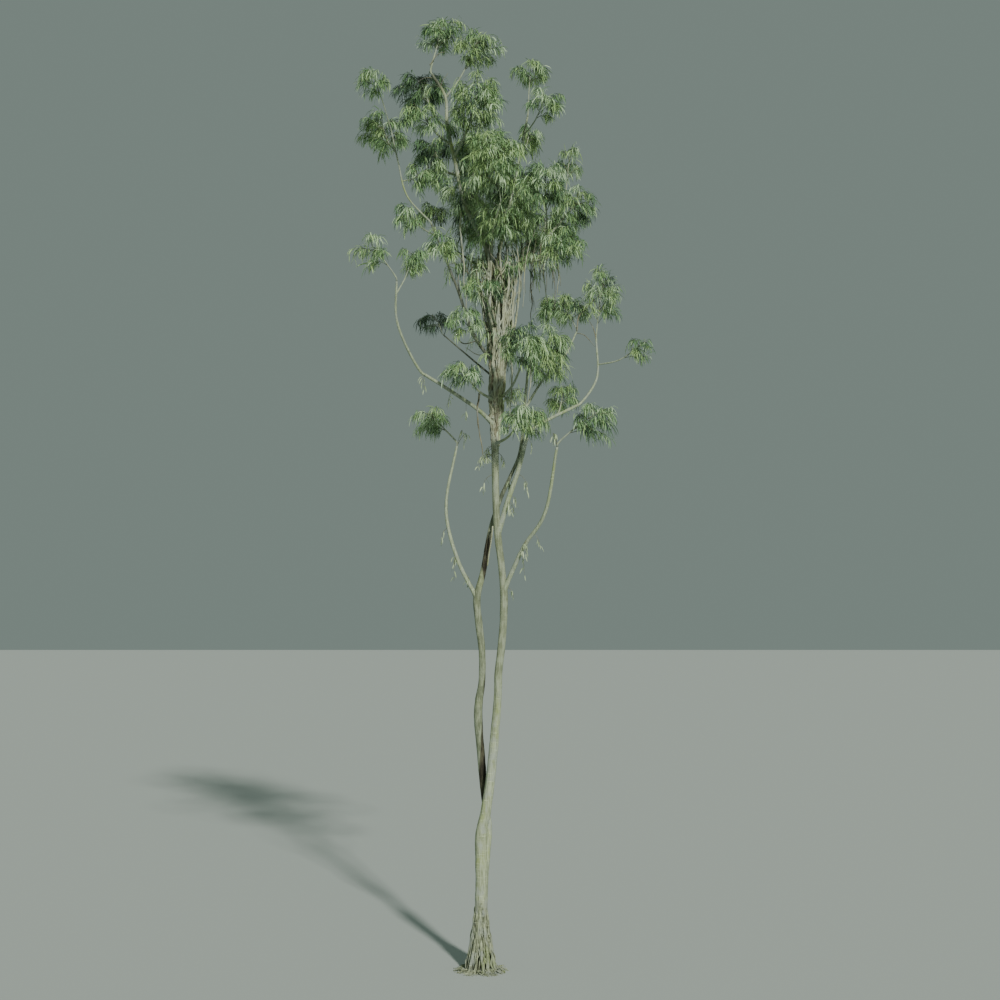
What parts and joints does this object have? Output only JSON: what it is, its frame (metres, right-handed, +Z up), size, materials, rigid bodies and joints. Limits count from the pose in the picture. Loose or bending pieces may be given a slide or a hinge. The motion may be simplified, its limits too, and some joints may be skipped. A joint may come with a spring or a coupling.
{
  "type": "alii fig tree",
  "caption": "Tall alii fig on two twisted stems, with prop roots at its foot, aerial roots under the crown, and an open crown of drooping narrow leaves.",
  "frame": {"origin": "middle of the trunk's flat cut at ground level", "axes": "+Z up along the height of the tree, -Y towards the side that the picture shows, +X to its right"},
  "size_m": [6.5538, 4.6032, 20.5726],
  "materials": {
    "bark": "matte",
    "leaves": "satin"
  },
  "bodies": {
    "root": {"trunk": "bark", "second_stem": "bark", "low_left_bough": "bark", "low_right_bough": "bark", "twin_bough": "bark", "left_bough": "bark", "left_bough_upper": "bark", "right_bough": "bark", "right_bough_upper": "bark", "centre_right_bough": "bark", "right_inner_bough": "bark", "left_mid_bough": "bark", "far_left_bough": "bark", "dark_low_bough": "bark", "left_upper_bough": "bark", "right_upper_bough": "bark", "upper_right_bough": "bark", "back_bough": "bark", "front_bough": "bark", "foliage_top_left": "leaves", "foliage_top_right": "leaves", "foliage_far_left_top": "leaves", "foliage_far_left": "leaves", "foliage_left_dark_high": "leaves", "foliage_left_high": "leaves", "foliage_left_dark_mid": "leaves", "foliage_left_olive": "leaves", "foliage_left_low_outer": "leaves", "foliage_left_low_back": "leaves", "foliage_left_low_front": "leaves", "foliage_centre_dark": "leaves", "foliage_centre_high": "leaves", "foliage_centre_upper": "leaves", "foliage_centre_front": "leaves", "foliage_centre_back": "leaves", "foliage_core_back": "leaves", "foliage_core_low": "leaves", "foliage_right_high": "leaves", "foliage_right_back": "leaves", "foliage_right_spike": "leaves", "foliage_right_outer": "leaves", "foliage_right_low": "leaves", "foliage_crown_right_top": "leaves", "foliage_crown_right": "leaves", "foliage_crown_right_low": "leaves", "foliage_left_tip": "leaves", "foliage_left_tip_inner": "leaves", "foliage_dark_low": "leaves", "foliage_left_inner": "leaves", "foliage_left_lower": "leaves", "foliage_front_inner": "leaves", "foliage_right_inner": "leaves", "foliage_right_middle": "leaves", "foliage_right_hanging": "leaves", "foliage_low_centre": "leaves", "foliage_right_shelf": "leaves", "foliage_right_top": "leaves", "foliage_far_right": "leaves", "foliage_low_left": "leaves", "foliage_low_right": "leaves"}
  },
  "joints": []
}
